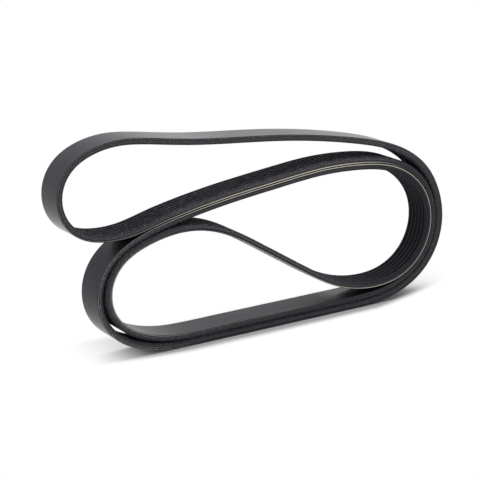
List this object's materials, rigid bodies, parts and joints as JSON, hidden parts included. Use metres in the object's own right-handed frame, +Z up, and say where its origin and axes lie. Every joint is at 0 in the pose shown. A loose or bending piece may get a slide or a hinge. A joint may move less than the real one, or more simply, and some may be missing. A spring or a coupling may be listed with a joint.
{
  "type": "serpentine belt",
  "caption": "Endless multi-rib rubber drive belt for engine accessories, smooth on its back and ribbed inside, folded into loops and standing on its lowest strand.",
  "frame": {"origin": "on the surface that the belt stands on, below the middle of its box", "axes": "+X along the loops towards the end where three layers lie together, +Y across the belt's width, +Z up"},
  "size_m": [0.29, 0.0214, 0.1403],
  "materials": {
    "belt_rubber": "matte ribs, satin back"
  },
  "bodies": {
    "root": {"ribbed_belt": "belt_rubber"}
  },
  "joints": []
}
